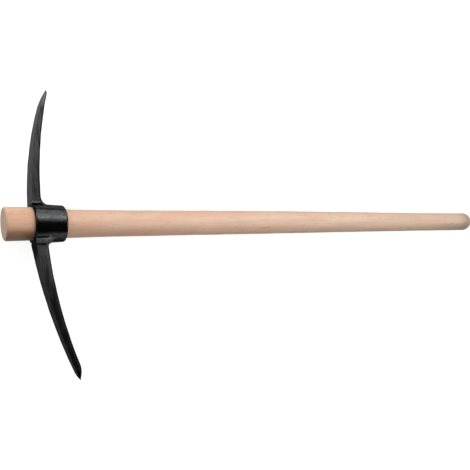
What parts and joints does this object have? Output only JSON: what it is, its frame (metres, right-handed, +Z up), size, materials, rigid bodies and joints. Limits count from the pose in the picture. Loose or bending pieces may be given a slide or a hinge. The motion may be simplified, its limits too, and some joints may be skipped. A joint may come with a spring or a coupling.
{
  "type": "pick axe",
  "caption": "Pick axe with a forged head, swept to a chisel edge on one side and a point on the other, whose conical eye slips over and jams on a tapered wooden handle.",
  "frame": {"origin": "centre of the flat face at the handle's thick end", "axes": "+X along the handle from the thick end to the grip end, +Y towards the chisel arm, +Z up with the pick lying on its side"},
  "size_m": [0.9, 0.5215, 0.0682],
  "materials": {
    "wood": "sanded, unvarnished",
    "steel": "black satin lacquer over forged steel"
  },
  "bodies": {
    "handle": {"handle": "wood"},
    "head": {"pick_head": "steel"}
  },
  "joints": [
    {"name": "head_slide", "type": "slide", "parent": "handle", "child": "head", "axis": [1, 0, 0], "range_m": [0, 0.86]}
  ]
}
